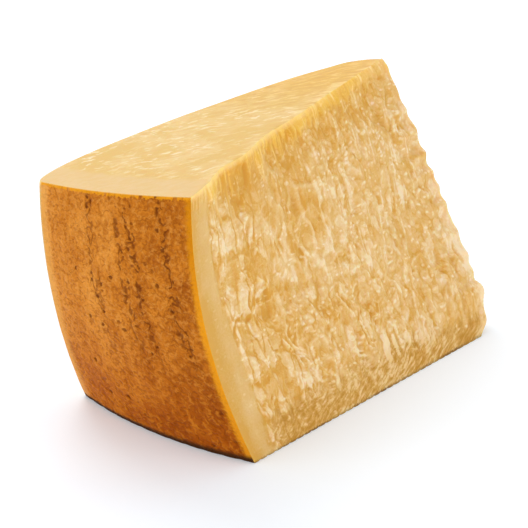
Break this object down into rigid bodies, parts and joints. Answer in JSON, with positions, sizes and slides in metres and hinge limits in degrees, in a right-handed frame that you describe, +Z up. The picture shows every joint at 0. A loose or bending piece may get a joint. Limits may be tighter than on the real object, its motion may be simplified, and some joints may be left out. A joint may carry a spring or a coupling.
{
  "type": "parmesan cheese wedge",
  "caption": "Tall wedge of hard aged cheese with a curved orange-brown rind, rough broken faces, a sloping cut top and a blunt scalloped tip.",
  "frame": {"origin": "middle of the footprint box, on the flat foot that the wedge rests on", "axes": "+Z up; the rind faces -X and the tip points to +X; the rough face that the picture shows faces -Y"},
  "size_m": [0.2118, 0.097, 0.1133],
  "materials": {
    "aged_cheese": "waxy, crumbly golden paste with an orange-brown rind"
  },
  "bodies": {
    "root": {"cheese_wedge": "aged_cheese"}
  },
  "joints": []
}
